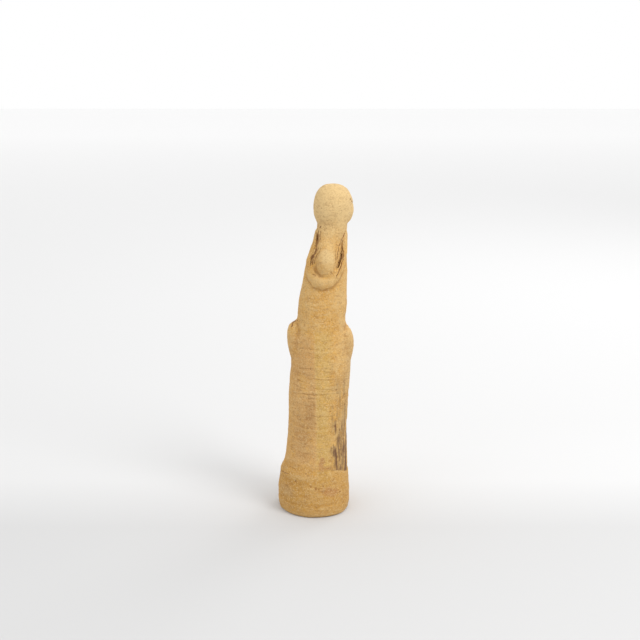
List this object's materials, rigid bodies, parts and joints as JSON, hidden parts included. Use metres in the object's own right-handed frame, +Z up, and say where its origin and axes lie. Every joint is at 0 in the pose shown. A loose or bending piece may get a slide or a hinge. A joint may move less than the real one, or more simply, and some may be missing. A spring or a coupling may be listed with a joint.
{
  "type": "ceramic figure",
  "caption": "Tall standing woman in unglazed stoneware, with folded arms, collar and knotted hair, hollow and open underneath.",
  "frame": {"origin": "middle of the part's box at its underside, on the surface that it stands on", "axes": "+Z up through the figure; the body faces -Y, and its right arm is at -X"},
  "size_m": [0.1294, 0.1322, 0.5602],
  "materials": {
    "clay": "unglazed, matt ochre stoneware"
  },
  "bodies": {
    "root": {"woman": "clay"}
  },
  "joints": []
}
